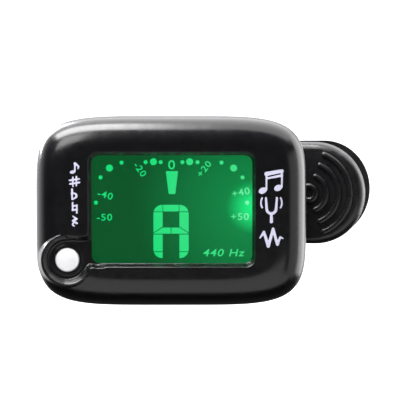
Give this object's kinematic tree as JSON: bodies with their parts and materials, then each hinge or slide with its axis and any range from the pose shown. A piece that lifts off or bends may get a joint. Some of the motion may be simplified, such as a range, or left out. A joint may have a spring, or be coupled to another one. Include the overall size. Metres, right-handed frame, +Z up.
{
  "type": "clip-on tuner",
  "caption": "Battery-powered clip-on instrument tuner: a rounded head with a green-lit screen and one button, on a tilting swivel over a sprung two-lever clip.",
  "frame": {"origin": "centre of the front pad's gripping face, midway between the ends of the pad", "axes": "+X along the clip from the jaws to the handles, +Y away from the screen, from the front pad towards the rear pad, +Z up with the screen's reading upright"},
  "size_m": [0.071, 0.0434, 0.0386],
  "materials": {
    "case_black": "satin moulded black",
    "clip_black": "satin moulded black",
    "screen_clear": "clear polished",
    "display_green": "lit green display",
    "foam_black": "closed foam",
    "rubber_strip": "striped conductive rubber",
    "guide_clear": "clear moulded",
    "sheet_white": "matt white film",
    "lamp_green": "small lamp body",
    "board_green": "solder mask",
    "resin_black": "cast resin",
    "smd_tan": "ceramic parts",
    "steel_screw": "zinc plated",
    "steel_bright": "bright nickel plated",
    "cell_steel": "stainless can",
    "contact_brass": "gold plated spring brass",
    "brass_plate": "plain brass",
    "ceramic_cream": "fired ceramic with silvering",
    "lead_sleeve": "insulated wire",
    "switch_black": "moulded switch",
    "plunger_cream": "moulded plunger",
    "button_white": "white moulded cap",
    "washer_white": "low friction washer",
    "pad_rubber": "soft grip rubber",
    "spring_steel": "drawn wire"
  },
  "bodies": {
    "clip": {"front_lever": "clip_black", "front_pad": "pad_rubber", "pivot_pin": "steel_bright", "torsion_spring": "spring_steel"},
    "rear_jaw": {"rear_lever": "clip_black", "rear_pad": "pad_rubber"},
    "swivel": {"swivel_post": "clip_black", "friction_washer": "washer_white", "retaining_washer": "steel_bright", "swivel_screw": "steel_screw"},
    "head": {"front_cover": "case_black", "rear_cover": "case_black", "case_screws": "steel_screw", "screen_lens": "screen_clear", "screen_gasket": "foam_black", "lcd_front_glass": "display_green", "lcd_rear_glass": "display_green", "zebra_strip": "rubber_strip", "light_guide": "guide_clear", "reflector_sheet": "sheet_white", "backlight_led": "lamp_green", "circuit_board": "board_green", "board_screws": "steel_screw", "control_chip": "resin_black", "smd_parts": "smd_tan", "crystal": "steel_bright", "switch_body": "switch_black", "piezo_plate": "brass_plate", "piezo_ceramic": "ceramic_cream", "piezo_leads": "lead_sleeve", "coin_cell": "cell_steel", "contact_plus": "contact_brass", "contact_minus": "contact_brass", "hinge_screw": "steel_screw", "hinge_nut": "steel_screw"},
    "button": {"power_button": "button_white", "switch_plunger": "plunger_cream"},
    "door": {"battery_door": "case_black"}
  },
  "joints": [
    {"name": "jaw_open", "type": "hinge", "parent": "clip", "child": "rear_jaw", "pos_m": [0.022, 0.0012, 0], "axis": [0, 0, -1], "range_deg": [0, 38], "stiffness_Nm_per_rad": 0.35, "springref_deg": -20.05, "deforming": ["torsion_spring"]},
    {"name": "swivel_turn", "type": "hinge", "parent": "clip", "child": "swivel", "pos_m": [0.0115, 0, 0], "axis": [0, -1, 0], "continuous": true},
    {"name": "head_tilt", "type": "hinge", "parent": "swivel", "child": "head", "pos_m": [0.0115, -0.0111, 0], "axis": [1, 0, 0], "range_deg": [-25, 25]},
    {"name": "power_press", "type": "slide", "parent": "head", "child": "button", "axis": [0, 1, 0], "range_m": [0, 0.0003], "stiffness_N_per_m": 900, "springref_m": -0.0003},
    {"name": "battery_door_slide", "type": "slide", "parent": "head", "child": "door", "axis": [-1, 0, 0], "range_m": [0, 0.024]}
  ]
}
